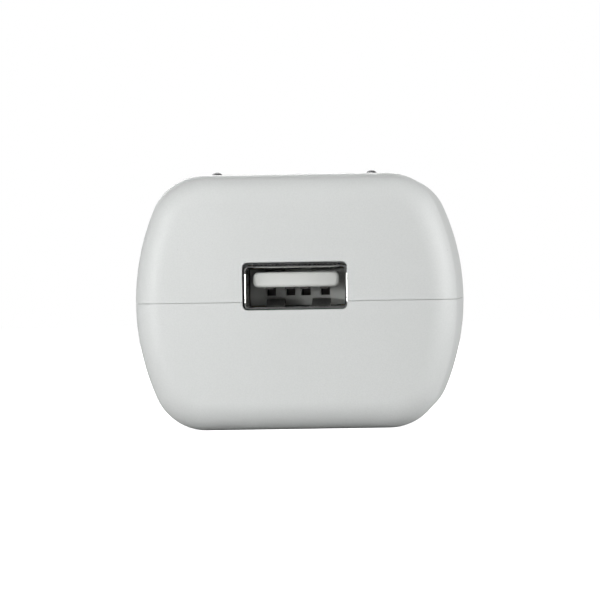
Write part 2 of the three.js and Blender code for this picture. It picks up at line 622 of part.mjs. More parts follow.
const plug = new THREE.Group();
plug.position.set(0, PIVOT.y, PIVOT.z);
place(plug, 'plug_carrier', makeCarrier(), 'carrier');
place(plug, 'blade_left', bladeSolid(-BLADE.x), 'blade');
place(plug, 'blade_right', bladeSolid(BLADE.x), 'blade');

const electronics = new THREE.Group();
place(electronics, 'main_board', makeBoard(), 'board');
place(electronics, 'mains_contact_left', makeMainsContact(-BLADE.x), 'spring');
place(electronics, 'mains_contact_right', makeMainsContact(BLADE.x), 'spring');
place(electronics, 'usb_shell', makeUsbShell(), 'steel');
place(electronics, 'usb_insulator', makeUsbInsulator(), 'insulator');
USB_CONTACT_X.forEach((x, i) => place(electronics, `usb_contact_${i + 1}`, makeUsbContact(x), 'spring'));
place(electronics, 'transformer_core_front', makeCoreHalf(-1), 'ferrite');
place(electronics, 'transformer_core_rear', makeCoreHalf(1), 'ferrite');
place(electronics, 'transformer_bobbin', makeBobbin(), 'bobbin');
place(electronics, 'transformer_winding', makeWinding(), 'tape');
for (const [name, spec] of Object.entries(LYING_CAPS)) {
  place(electronics, name, makeLyingCapacitor(spec), 'sleeve');
}
place(electronics, 'bridging_capacitor', makeDiscCapacitor(), 'ceramic');
place(electronics, 'fusible_resistor', makeFusibleResistor(), 'resistor');
place(electronics, 'filter_choke', makeChoke(), 'ferrite');
for (const [name, spec] of Object.entries(CHIPS)) place(electronics, name, makeChip(spec), 'epoxy');

charger.add(housing, plug, electronics);

export default charger;
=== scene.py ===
# A folding-plug USB wall charger: fine shells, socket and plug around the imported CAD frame.
import json
import math

import bpy
from mathutils import Matrix, Vector


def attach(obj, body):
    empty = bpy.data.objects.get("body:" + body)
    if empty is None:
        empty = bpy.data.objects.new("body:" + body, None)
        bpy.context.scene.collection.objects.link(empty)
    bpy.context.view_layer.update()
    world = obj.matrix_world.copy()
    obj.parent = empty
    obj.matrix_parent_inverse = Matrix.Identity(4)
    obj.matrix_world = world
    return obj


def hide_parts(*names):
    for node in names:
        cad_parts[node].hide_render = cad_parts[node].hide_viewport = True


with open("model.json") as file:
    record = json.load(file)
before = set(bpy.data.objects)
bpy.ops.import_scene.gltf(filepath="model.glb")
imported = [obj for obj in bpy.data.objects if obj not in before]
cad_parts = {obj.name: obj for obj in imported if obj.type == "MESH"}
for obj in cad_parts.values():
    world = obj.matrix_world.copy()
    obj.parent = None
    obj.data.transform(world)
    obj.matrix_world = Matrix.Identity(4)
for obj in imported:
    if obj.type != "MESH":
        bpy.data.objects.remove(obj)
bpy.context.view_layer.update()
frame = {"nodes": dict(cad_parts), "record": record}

MM = 0.001

# ------------------------------------------------------------------ sizes, in millimetres
# The body: a bulged section with rounded corners and rounded ends, split at mid-height.
HALF_WIDTH, HALF_HEIGHT, HALF_LENGTH = 20.757, 16.45, 31.0
SIDE_RADIUS, CORNER_RADIUS, END_RADIUS, WALL = 30.6, 7.0, 3.5, 1.9
SEAM_Z, TOP_Z, FRONT_Y = HALF_HEIGHT, 2 * HALF_HEIGHT, -HALF_LENGTH
SEAM_GAP = 0.045
GROOVE = {"depth": 0.06, "beyond": 0.1, "half_height": 0.072}
LIP = {"outer": 1.25, "height": 1.2, "space": 0.3}

# Clearances, the depth at which inner walls grow into the shell, and how far one shape runs into
# or past another that it is joined to or cut from.
LOOSE, SNUG = 0.3, 0.1
HALF_SKIN = 0.9
OVERLAP = 1.0
FAR = 40

# The USB-A socket in its port, which is moulded slightly off the socket's centre.
PORT = {"half_x": 6.75, "low": 15.42, "high": 21.53, "corner": 0.65, "fillet": 0.15, "shift": -0.13}
COLLAR = {"half_x": 8.4, "high": 22.4, "depth": 1.2}
USB = {"half_x": 6.65, "low": 15.53, "high": 21.13, "wall": 0.3, "corner": 0.65}
USB_FRONT, USB_REAR = -30.6, -17.2
USB_EDGE = {"outer": 0.05, "outer_depth": 0.08, "inner": 0.1, "inner_depth": 0.18}
USB_LEG = {"y": (-27, -19), "half_y": 0.8, "low": 12.9}
SIDE_WINDOW = {"front": -28.4, "rear": -23.4, "low": 18.6, "high": 19.7}
TONGUE = {"half_x": 5.5, "low": 18.33, "high": 20.27, "corner": 0.65, "front": -29.4, "fillet": 0.4}
TONGUE_ROOT = 0.8
BLOCK_FRONT, BLOCK_ROUND = -21.0, 0.12
BLOCK_WINDOW = {"half_x": 1.2, "depth": 1.2}
CONTACT_X = (-3.5, -1.0, 1.0, 3.5)
CONTACT = {"half_x": 0.5, "thick": 0.2, "under": 0.16, "low": 13.1}
CONTACT_FRONT, CONTACT_BEND, CONTACT_TAIL = -27.6, -26.8, -16.8
CONTACT_SLOT = {"half_x": 0.6, "depth": 1.12, "ahead": 0.6}
SPRING_X = (-2.8, 3.1)
SPRING = {"half_x": 1.2, "thick": 0.25}
SPRING_WINDOW = {"half_x": 1.4, "front": -28.2, "rear": -21.6}
TOP_LIP = {"half_x": 5.45, "thick": 0.14}
SIDE_LIP = {"low": 16.38, "high": 20.07, "thick": 0.11}

# The folding plug, its pocket and its slots.
PIVOT_Y, PIVOT_Z = FRONT_Y + 8.5, TOP_Z - 3.9
BLADE = {"x": 6.35, "thick": 1.52, "width": 6.35, "reach": 20.9, "shoulder": 1.7, "tip": 2.1}
BLADE_HOLE = {"at": 15.8, "radius": 1.6}
BLADE_ROUND = 0.22
TAIL_WIDTH, TAIL_REACH = 3.0, 4.2
RIM_X, RIM_RADIUS, RIM_HALF, RIM_NOTCH = 10.0, 4.3, 0.9, 1.2
PLUG_PLAY = -0.25
STUB_RADIUS, STUB_END = 1.2, 12.8
POCKET = {"half_x": 11.2, "half_y": 4.7, "depth": 4.9, "side": 2.0, "end": 1.1, "floor": 1.1}
MOUTH = {"half_x": 8.9, "half_y": 3.9, "corner": 0.4}
SLOT_HALF = BLADE["thick"] / 2 + LOOSE
SLOT_FLOOR = PIVOT_Z - BLADE["width"] / 2 - 0.35
SLOT_END = PIVOT_Y + BLADE["reach"] + 1.2
SLOT_WALL = 1.0
FINGER = {"radius": 6.0, "depth": 2.4, "half_x": 10.2, "y": SLOT_END - 3.0}
FINGER_WALL, FINGER_CORNER, FINGER_TAPER = 1.1, 1.4, 1.6
OPENING_FILLET = 0.25

# The ribs that hold the board.
RIB = {"x": (17.0, 19.3), "y": (-20, 20), "half_y": 1.0, "low": 5.0, "board": 13.85, "high": 22.0}


# ------------------------------------------------------------------ mesh helpers
SHARP_DEGREES = 32


def make_object(name, points, faces):
    mesh = bpy.data.meshes.new(name)
    mesh.from_pydata([Vector(p) * MM for p in points], [], faces)
    mesh.update()
    made = bpy.data.objects.new(name, mesh)
    bpy.context.scene.collection.objects.link(made)
    return made


def loft(name, rings):
    """A closed solid through rings of equal count, each ring turning so that its right-hand normal
    points away from the next ring."""
    count = len(rings[0])
    points = [p for ring in rings for p in ring]
    faces = [list(range(count))]
    for k in range(len(rings) - 1):
        for i in range(count):
            j = (i + 1) % count
            faces.append([k * count + i, (k + 1) * count + i, (k + 1) * count + j, k * count + j])
    last = (len(rings) - 1) * count
    faces.append([last + i for i in reversed(range(count))])
    return make_object(name, points, faces)


def box(name, low, high):
    (x0, y0, z0), (x1, y1, z1) = low, high
    ring = [(x0, z0), (x1, z0), (x1, z1), (x0, z1)]
    return loft(name, [[(x, y, z) for x, z in ring] for y in (y0, y1)])


def apply_modifiers(thing):
    graph = bpy.context.evaluated_depsgraph_get()
    mesh = bpy.data.meshes.new_from_object(thing.evaluated_get(graph))
    old = thing.data
    thing.modifiers.clear()
    thing.data = mesh
    bpy.data.meshes.remove(old)


def combine(thing, others, operation):
    """thing joined with, or cut by, each of the others, which are used up."""
    for other in others:
        modifier = thing.modifiers.new("combine", "BOOLEAN")
        modifier.operation = operation
        modifier.solver = "MANIFOLD"
        modifier.object = other
        apply_modifiers(thing)
        bpy.data.objects.remove(other)
    return thing


def add(thing, *others):
    return combine(thing, others, "UNION")


def cut(thing, *others):
    return combine(thing, others, "DIFFERENCE")


def keep_inside(thing, *others):
    return combine(thing, others, "INTERSECT")


def smooth(thing):
    """Smooth shading with flat faces kept flat beside their fillets."""
    for polygon in thing.data.polygons:
        polygon.use_smooth = True
    thing.data.set_sharp_from_angle(angle=math.radians(SHARP_DEGREES))
    weighted = thing.modifiers.new("flat_faces", "WEIGHTED_NORMAL")
    weighted.keep_sharp = True
    weighted.weight = 90


def round_edges(thing, width, segments=2, degrees=35):
    bevel = thing.modifiers.new("round_edges", "BEVEL")
    bevel.width = width * MM
    bevel.segments = segments
    bevel.limit_method = "ANGLE"
    bevel.angle_limit = math.radians(degrees)
    return thing


def arc(centre, radius, start, end, steps):
    """Points from start to end, in degrees, both ends included."""
    angles = [math.radians(start + (end - start) * i / steps) for i in range(steps + 1)]
    return [(centre[0] + radius * math.cos(a), centre[1] + radius * math.sin(a)) for a in angles]


def rounded(x0, y0, x1, y1, radius, steps=6):
    """A rounded rectangle, counter-clockwise."""
    r = radius
    return (
        arc((x1 - r, y0 + r), r, -90, 0, steps) + arc((x1 - r, y1 - r), r, 0, 90, steps)
        + arc((x0 + r, y1 - r), r, 90, 180, steps) + arc((x0 + r, y0 + r), r, 180, 270, steps)
    )


def grown(half_x, low, high, corner, offset, steps=6):
    radius = max(corner + offset, 0.02)
    return rounded(-half_x - offset, low - offset, half_x + offset, high + offset, radius, steps)


def fillet_levels(radius, steps=5):
    """(depth below the surface, widening) pairs of a rounded edge, from the surface down."""
    levels = []
    for i in range(steps + 1):
        angle = math.pi / 2 * i / steps
        levels.append((radius * math.sin(angle), radius * (1 - math.cos(angle))))
    return [(radius - depth, widening) for depth, widening in reversed(levels)]


def lathe(name, profile, steps=72):
    """A solid of revolution about X, from [radius, x] points that start and end on the axis."""
    inner = profile[1:-1]
    points = [(profile[0][1], 0, 0)]
    for radius, x in inner:
        for i in range(steps):
            angle = 2 * math.pi * i / steps
            points.append((x, radius * math.cos(angle), radius * math.sin(angle)))
    points.append((profile[-1][1], 0, 0))
    last = len(points) - 1
    faces = []
    for i in range(steps):
        j = (i + 1) % steps
        faces.append([0, 1 + j, 1 + i])
        for k in range(len(inner) - 1):
            a, b = 1 + k * steps, 1 + (k + 1) * steps
            faces.append([a + i, a + j, b + j, b + i])
        base = 1 + (len(inner) - 1) * steps
        faces.append([last, base + i, base + j])
    return make_object(name, points, faces)


def strip(name, path, thickness, x0, x1):
    """A bent strip: its centre line in (y, z), its thickness, and its span in X."""
    half = thickness / 2
    sides = ([], [])
    for i, point in enumerate(path):
        here = Vector(point)
        before, after = Vector(path[max(i - 1, 0)]), Vector(path[min(i + 1, len(path) - 1)])
        into = (here - before) if i else (after - here)
        out = (after - here) if i < len(path) - 1 else into
        normal = Vector((-into.y, into.x)).normalized()
        mitre = (normal + Vector((-out.y, out.x)).normalized()).normalized()
        for side, sign in zip(sides, (1, -1)):
            side.append(here + mitre * (sign * half / mitre.dot(normal)))
    outline = [*sides[1], *reversed(sides[0])]
    rings = [[(x, p.x, p.y) for p in reversed(outline)] for x in (x0, x1)]
    return loft(name, rings)


def upright_strip(name, path, thickness, z0, z1):
    """As strip, with its centre line in (x, y) and its span in Z."""
    made = strip(name, path, thickness, z0, z1)
    turn = Matrix(((0, 1, 0, 0), (0, 0, 1, 0), (1, 0, 0, 0), (0, 0, 0, 1)))
    made.data.transform(turn)
    return made


# ------------------------------------------------------------------ the body's rounded form
def section(inset, side_steps, corner_steps):
    """The cross-section moved inwards, counter-clockwise seen from the USB end."""
    corner_z = HALF_HEIGHT - CORNER_RADIUS
    side_x = HALF_WIDTH - SIDE_RADIUS
    corner_x = side_x + math.sqrt((SIDE_RADIUS - CORNER_RADIUS) ** 2 - corner_z ** 2)
    side_angle = math.degrees(math.asin(corner_z / (SIDE_RADIUS - CORNER_RADIUS)))
    quarter = arc((side_x, 0), SIDE_RADIUS - inset, 0, side_angle, side_steps)[:-1]
    quarter += arc((corner_x, corner_z), CORNER_RADIUS - inset, side_angle, 90, corner_steps)
    upper = quarter + [(-x, z) for x, z in reversed(quarter)]
    return upper + [(x, -z) for x, z in reversed(upper[1:-1])]


def body_form(name, inset, side_steps=20, corner_steps=18, end_steps=14):
    """The whole body's outer form moved inwards, its ends rounded off."""
    radius = END_RADIUS - inset
    ends = []
    for i in range(end_steps + 1):
        angle = math.pi / 2 * i / end_steps
        ends.append((inset + radius * (1 - math.cos(angle)), inset + radius * (1 - math.sin(angle))))
    levels = [(FRONT_Y + back, move) for back, move in ends]
    levels += [(-y, move) for y, move in reversed(levels)]
    rings = [
        [(x, y, SEAM_Z + z) for x, z in section(move, side_steps, corner_steps)] for y, move in levels
    ]
    return loft(name, rings)


def inner_form(name, inset):
    """The same form moved inwards, in fewer steps, for surfaces that stay out of sight."""
    return body_form(name, inset, side_steps=8, corner_steps=8, end_steps=5)


def slab(name, z0, z1):
    """Everything between two heights."""
    return box(name, (-FAR, -FAR, z0), (FAR, FAR, z1))


def seam_groove(name):
    """A ring with a V section that widens the seam at the surface."""

    def plan(offset):
        half_x, half_y = HALF_WIDTH + offset, HALF_LENGTH + offset
        return rounded(-half_x, -half_y, half_x, half_y, END_RADIUS + offset, 14)

    deep, wide = plan(-GROOVE["depth"]), plan(GROOVE["beyond"])
    count = len(deep)
    points = [(x, y, SEAM_Z) for x, y in deep]
    points += [(x, y, SEAM_Z - GROOVE["half_height"]) for x, y in wide]
    points += [(x, y, SEAM_Z + GROOVE["half_height"]) for x, y in wide]
    faces = []
    for k in range(3):
        for i in range(count):
            j = (i + 1) % count
            a, b = k * count, (k + 1) % 3 * count
            faces.append([b + i, b + j, a + j, a + i])
    return make_object(name, points, faces)


# ------------------------------------------------------------------ openings
def port_cutter(name):
    """The opening in the end face, its outer edge rounded."""
    levels = [(-3 * OVERLAP, PORT["fillet"]), *fillet_levels(PORT["fillet"]), (WALL + 2 * SNUG, 0.0)]
    rings = [
        [(x + PORT["shift"], FRONT_Y + depth, z)
         for x, z in grown(PORT["half_x"], PORT["low"], PORT["high"], PORT["corner"], widening)]
        for depth, widening in levels
    ]
    return loft(name, rings)


def socket_cutter(name):
    """The socket's way through the wall and the collar behind it."""
    outline = grown(USB["half_x"], USB["low"], USB["high"], USB["corner"], SNUG)
    ends = (FRONT_Y + OVERLAP, FRONT_Y + WALL + 2 * COLLAR["depth"])
    return loft(name, [[(x, y, z) for x, z in outline] for y in ends])


def top_cutter(name, x0, y0, x1, y1, corner, floor):
    """A pocket sunk from the top face, its upper edge rounded."""
    levels = [(floor, 0.0)]
    levels += [(TOP_Z - depth, widening) for depth, widening in reversed(fillet_levels(OPENING_FILLET))]
    levels.append((TOP_Z + 2 * OVERLAP, OPENING_FILLET))
    rings = []
    for z, w in levels:
        outline = rounded(x0 - w, y0 - w, x1 + w, y1 + w, corner + w, 5)
        rings.append([(x, y, z) for x, y in reversed(outline)])
    return loft(name, rings)


def finger_cutter(name):
    """A shallow scoop across both slots, where a nail lifts the blades."""
    radius, full_depth, steps = FINGER["radius"], FINGER["depth"], 12
    sizes = []
    for i in range(steps + 1):
        depth = full_depth * (1 - (i / steps) ** 2)
        # The lowest ring keeps a little width.
        half_y = math.sqrt(max(radius ** 2 - (radius - full_depth + depth) ** 2, 0.2))
        half_x = FINGER["half_x"] - FINGER_TAPER * (depth / full_depth) ** 3
        sizes.append((TOP_Z - depth, half_x, half_y, min(FINGER_CORNER, half_y * 0.6)))
    _, half_x, half_y, corner = sizes.pop()
    for depth, widening in reversed(fillet_levels(OPENING_FILLET)):
        sizes.append((TOP_Z - depth, half_x + widening, half_y + widening, corner + widening))
    # A ring no higher than the one before it is dropped.
    sizes = [size for i, size in enumerate(sizes) if i == 0 or size[0] > sizes[i - 1][0] + 1e-4]
    sizes.append((TOP_Z + 2 * OVERLAP, *sizes[-1][1:]))
    rings = []
    for z, half_x, half_y, corner in sizes:
        outline = rounded(-half_x, FINGER["y"] - half_y, half_x, FINGER["y"] + half_y, corner)
        rings.append([(x, y, z) for x, y in reversed(outline)])
    return loft(name, rings)


def at_pivot(thing):
    """Moved from the X axis to the plug's own axis."""
    thing.data.transform(Matrix.Translation(Vector((0, PIVOT_Y, PIVOT_Z)) * MM))
    return thing


# ------------------------------------------------------------------ shells
def board_ribs(z0, z1):
    """The four ribs between two heights, trimmed to the shell's curve."""
    ribs = []
    for side in (-1, 1):
        for y in RIB["y"]:
            x0, x1 = sorted(side * x for x in RIB["x"])
            rib = box("rib", (x0, y - RIB["half_y"], z0), (x1, y + RIB["half_y"], z1))
            ribs.append(keep_inside(rib, inner_form("limit", HALF_SKIN)))
    return ribs


def lip_ring(inset_out, inset_in, z0, z1):
    """The ring between two insets of the body, for the lip along the seam and the space it fits in."""
    ring = cut(inner_form("lip", inset_out), inner_form("lip_inside", inset_in))
    return keep_inside(ring, slab("lip_slab", z0, z1))


def upper_shell_additions():
    """The walls under the plug's pocket, the slots and the finger hollow, and the socket's collar."""
    pocket_low = PIVOT_Z - POCKET["depth"] - POCKET["floor"]
    out_x, out_y = POCKET["half_x"] + POCKET["side"], POCKET["half_y"] + POCKET["end"]
    under_skin = TOP_Z - HALF_SKIN
    finger_x = FINGER["half_x"] + FINGER_WALL
    finger_y = math.sqrt(FINGER["radius"] ** 2 - (FINGER["radius"] - FINGER["depth"]) ** 2) + FINGER_WALL
    finger_low = TOP_Z - FINGER["depth"] - FINGER_WALL
    slot_x = SLOT_HALF + SLOT_WALL
    return [
        box("pocket", (-out_x, PIVOT_Y - out_y, pocket_low), (out_x, PIVOT_Y + out_y, under_skin)),
        box(
            "collar",
            (-COLLAR["half_x"], FRONT_Y + OVERLAP, SEAM_Z),
            (COLLAR["half_x"], FRONT_Y + WALL + COLLAR["depth"], COLLAR["high"])),
        box(
            "finger_wall",
            (-finger_x, FINGER["y"] - finger_y, finger_low),
            (finger_x, FINGER["y"] + finger_y, under_skin)),
        *[
            box(
                "slot_wall",
                (x - slot_x, PIVOT_Y, SLOT_FLOOR - SLOT_WALL), (x + slot_x, SLOT_END + SLOT_WALL, under_skin))
            for x in (-BLADE["x"], BLADE["x"])
        ],
        *board_ribs(SEAM_Z, RIB["high"]),
    ]


def plug_openings():
    """The plug's pocket, its mouth with a notch for each disc, the blade slots and the bearings."""
    pocket_floor = PIVOT_Z - POCKET["depth"]
    bearing = STUB_RADIUS + SNUG
    reach = STUB_END + LOOSE
    front, rear = PIVOT_Y - POCKET["half_y"], PIVOT_Y + POCKET["half_y"]
    return [
        box("pocket_space", (-POCKET["half_x"], front, pocket_floor), (POCKET["half_x"], rear, TOP_Z - WALL)),
        top_cutter(
            "mouth", -MOUTH["half_x"], PIVOT_Y - MOUTH["half_y"], MOUTH["half_x"], PIVOT_Y + MOUTH["half_y"],
            MOUTH["corner"], pocket_floor + OVERLAP),
        *[
            top_cutter(
                "rim_notch", x - RIM_NOTCH, front, x + RIM_NOTCH, rear, RIM_NOTCH / 2, pocket_floor + OVERLAP)
            for x in (-RIM_X, RIM_X)
        ],
        *[
            top_cutter(
                "blade_slot", x - SLOT_HALF, PIVOT_Y, x + SLOT_HALF, SLOT_END, SLOT_HALF * 0.9, SLOT_FLOOR)
            for x in (-BLADE["x"], BLADE["x"])
        ],
        finger_cutter("finger_hollow"),
        at_pivot(lathe("bearings", [[0, -reach], [bearing, -reach], [bearing, reach], [0, reach]], 32)),
    ]


def upper_shell():
    shell = cut(body_form("charger_upper_shell", 0), inner_form("inside", WALL))
    add(shell, *upper_shell_additions())
    keep_inside(shell, slab("upper_half", SEAM_Z + SEAM_GAP / 2, FAR))
    lip_space = lip_ring(
        LIP["outer"] - LIP["space"], WALL + LIP["space"], 0, SEAM_Z + LIP["height"] + LIP["space"])
    cut(
        shell, lip_space, port_cutter("port"), socket_cutter("socket"), *plug_openings(),
        seam_groove("groove"))
    return shell


def lower_shell():
    shell = cut(body_form("charger_lower_shell", 0), inner_form("inside", WALL))
    add(shell, *board_ribs(RIB["low"], RIB["board"]))
    keep_inside(shell, slab("lower_half", -OVERLAP, SEAM_Z - SEAM_GAP / 2))
    add(shell, lip_ring(LIP["outer"], WALL, SEAM_Z - OVERLAP, SEAM_Z + LIP["height"]))
    gate_x = PORT["half_x"] + LOOSE
    lip_gate = box("lip_gate", (-gate_x, FRONT_Y, SEAM_Z), (gate_x, FRONT_Y + 2 * WALL, PORT["high"]))
    cut(shell, port_cutter("port"), socket_cutter("socket"), lip_gate, seam_groove("groove"))
    return shell


# ------------------------------------------------------------------ folding plug
def blade_outline(stretch_y=1.0, stretch_z=1.0):
    """A blade's side view in (y, z): a narrow tail, square shoulders and a rounded tip."""
    half, tail, tip = BLADE["width"] / 2, TAIL_WIDTH / 2, BLADE["tip"]
    outline = [(-TAIL_REACH, -tail), (BLADE["shoulder"], -tail), (BLADE["shoulder"], -half)]
    outline += arc((BLADE["reach"] - tip, -half + tip), tip, -90, 0, 10)
    outline += arc((BLADE["reach"] - tip, half - tip), tip, 0, 90, 10)
    outline += [(BLADE["shoulder"], half), (BLADE["shoulder"], tail), (-TAIL_REACH, tail)]
    return [(PIVOT_Y + y * stretch_y, PIVOT_Z + z * stretch_z) for y, z in outline]


def across(name, outline, x, half):
    """A flat outline in (y, z), run along X about x."""
    return loft(name, [[(px, y, z) for y, z in reversed(outline)] for px in (x - half, x + half)])


def take_up_play(thing):
    """The plug rests against the left end of its pocket."""
    thing.data.transform(Matrix.Translation(Vector((PLUG_PLAY, 0, 0)) * MM))


def blade(name, x):
    """A flat blade with a hole near its tip and softly rounded edges."""
    made = across(name, blade_outline(), x, BLADE["thick"] / 2)
    hole = arc((PIVOT_Y + BLADE_HOLE["at"], PIVOT_Z), BLADE_HOLE["radius"], 0, 360, 40)[:-1]
    cut(made, across("hole", hole, x, BLADE["thick"]))
    round_edges(made, BLADE_ROUND, 3)
    apply_modifiers(made)
    take_up_play(made)
    return made


def carrier():
    """The barrel between two round-rimmed discs, on two stub axles, slotted for the blades."""
    barrel = RIM_RADIUS - RIM_HALF

    def rim(x):
        return [[barrel + RIM_HALF * math.cos(a), x + RIM_HALF * math.sin(a)]
                for a in [math.pi * (i / 20 - 0.5) for i in range(21)]]

    profile = [
        [0, -STUB_END], [STUB_RADIUS, -STUB_END], [STUB_RADIUS, -RIM_X - RIM_HALF],
        *rim(-RIM_X), *rim(RIM_X),
        [STUB_RADIUS, RIM_X + RIM_HALF], [STUB_RADIUS, STUB_END], [0, STUB_END],
    ]
    made = at_pivot(lathe("plug_barrel", profile, 96))
    for x in (-BLADE["x"], BLADE["x"]):
        cut(made, across("blade_space", blade_outline(1.02, 1.03), x, BLADE["thick"] / 2 + SNUG / 2))
    take_up_play(made)
    return made


# ------------------------------------------------------------------ USB socket
def usb_shell():
    """The folded steel box of the socket, with its legs and the windows its springs are punched from."""
    low, high, wall, half_x = USB["low"], USB["high"], USB["wall"], USB["half_x"]
    front, rear = USB_FRONT, USB_REAR

    def ring(offset, y):
        return [(x, y, z) for x, z in grown(half_x, low, high, USB["corner"], offset, 8)]

    shell = loft("usb_socket_shell", [
        ring(-USB_EDGE["outer"], front), ring(0, front + USB_EDGE["outer_depth"]), ring(0, rear),
    ])
    mouth = -wall + USB_EDGE["inner"]
    cut(shell, loft("shell_inside", [
        ring(mouth, front - OVERLAP), ring(mouth, front), ring(-wall, front + USB_EDGE["inner_depth"]),
        ring(-wall, rear + OVERLAP),
    ]))
    legs, windows = [], []
    for side in (-1, 1):
        x0, x1 = sorted((side * (half_x - wall), side * half_x))
        for y in USB_LEG["y"]:
            y0, y1 = y - USB_LEG["half_y"], y + USB_LEG["half_y"]
            legs.append(box("leg", (x0, y0, USB_LEG["low"]), (x1, y1, low + OVERLAP)))
        windows.append(box(
            "side_window",
            (x0 - OVERLAP, SIDE_WINDOW["front"], SIDE_WINDOW["low"]),
            (x1 + OVERLAP, SIDE_WINDOW["rear"], SIDE_WINDOW["high"])))
    for x in SPRING_X:
        x0, x1 = x - SPRING_WINDOW["half_x"], x + SPRING_WINDOW["half_x"]
        for z in (low, high):
            windows.append(box(
                "spring_window",
                (x0, SPRING_WINDOW["front"], z - OVERLAP), (x1, SPRING_WINDOW["rear"], z + OVERLAP)))
    add(shell, *legs)
    cut(shell, *windows)
    return shell


def leaf_springs():
    """The sprung tongues punched from the socket's floor and roof, which grip a plug."""
    low, high = USB["low"] + USB["wall"] / 2, USB["high"] - USB["wall"] / 2
    floor_path = [
        (-28.6, low), (-27.6, low + 0.03), (-25.6, low + 0.3), (-24.2, low + 0.85), (-23.6, low + 1.0),
        (-23.1, low + 1.0), (-22.4, low + 0.6),
    ]
    roof_path = [(-28.6, high), (-27.6, high), (-24.6, high - 0.3), (-23.4, high - 0.35), (-22.0, high - 0.2)]
    springs = []
    for x in SPRING_X:
        x0, x1 = x - SPRING["half_x"], x + SPRING["half_x"]
        springs.append(strip("usb_floor_spring", floor_path, SPRING["thick"], x0, x1))
        springs.append(strip("usb_roof_spring", roof_path, SPRING["thick"], x0, x1))
    return springs


def usb_top_lip():
    """The flared edge along the top of the socket's mouth."""
    front, high = USB_FRONT, USB["high"]
    path = [
        (front + 0.9, high - 0.1), (front + 0.5, high - 0.06), (front + 0.2, high + 0.1),
        (front + 0.02, high + 0.28),
    ]
    return strip("usb_top_lip", path, TOP_LIP["thick"], -TOP_LIP["half_x"], TOP_LIP["half_x"])


def usb_side_lip(side, start, end, flare):
    """A flared edge beside the socket's mouth, which bends from start to end, outwards from the wall."""
    front, wall_x = USB_FRONT, USB["half_x"] - USB["wall"] / 2
    path = [
        (wall_x, front + 0.4), (wall_x + start, front), (wall_x + start, front - 0.1),
        (wall_x + start + 0.03, front - 0.16), (wall_x + end, front - 0.16 - flare),
    ]
    outward = [(side * x, y) for x, y in path]
    return upright_strip("usb_side_lip", outward, SIDE_LIP["thick"], SIDE_LIP["low"], SIDE_LIP["high"])


def usb_contact(name, x):
    """A contact strip whose dark colour is painted shade, flush under the tongue, its tail bent down to the
    board.
    """
    z = TONGUE["low"] - CONTACT["under"]
    path = [(CONTACT_FRONT, z + 0.04), (CONTACT_BEND, z), (CONTACT_TAIL, z), (CONTACT_TAIL, CONTACT["low"])]
    return strip(name, path, CONTACT["thick"], x - CONTACT["half_x"], x + CONTACT["half_x"])


def tongue():
    """The socket's tongue: a rounded bar that runs back into the block."""
    fillet, steps = TONGUE["fillet"], 6
    rings = []
    for i in range(steps + 1):
        angle = math.pi / 2 * i / steps
        y = TONGUE["front"] + fillet * (1 - math.cos(angle))
        outline = grown(
            TONGUE["half_x"], TONGUE["low"], TONGUE["high"], TONGUE["corner"],
            -fillet * (1 - math.sin(angle)), 8)
        rings.append([(x, y, z) for x, z in outline])
    rings.append([(x, BLOCK_FRONT + TONGUE_ROOT, z) for x, _, z in rings[-1]])
    return loft("tongue", rings)


def usb_insulator():
    """The moulded block at the back of the socket, with the tongue, contact slots and spring windows."""
    inside = USB["half_x"] - USB["wall"] - SNUG
    floor, ceiling = USB["low"] + USB["wall"] + SNUG, USB["high"] - USB["wall"] - SNUG
    body = box("usb_tongue_block", (-inside, BLOCK_FRONT, floor), (inside, USB_REAR - SNUG, ceiling))
    round_edges(body, BLOCK_ROUND)
    apply_modifiers(body)
    add(body, tongue())
    slot_front, slot_low = BLOCK_FRONT - CONTACT_SLOT["ahead"], TONGUE["low"] - CONTACT_SLOT["depth"]
    for x in CONTACT_X:
        cut(body, box(
            "contact_slot",
            (x - CONTACT_SLOT["half_x"], slot_front, slot_low),
            (x + CONTACT_SLOT["half_x"], USB_REAR, TONGUE["low"])))
    for x in SPRING_X:
        cut(body, box(
            "block_window",
            (x - BLOCK_WINDOW["half_x"], BLOCK_FRONT - OVERLAP, floor - OVERLAP),
            (x + BLOCK_WINDOW["half_x"], BLOCK_FRONT + BLOCK_WINDOW["depth"], floor + OVERLAP)))
    return body


# ------------------------------------------------------------------ materials
# Heights of the surface relief, in metres.
GRAIN_RELIEF, DRAWN_RELIEF, WAVE_RELIEF, WEAVE_RELIEF = 10e-6, 4e-6, 40e-6, 20e-6


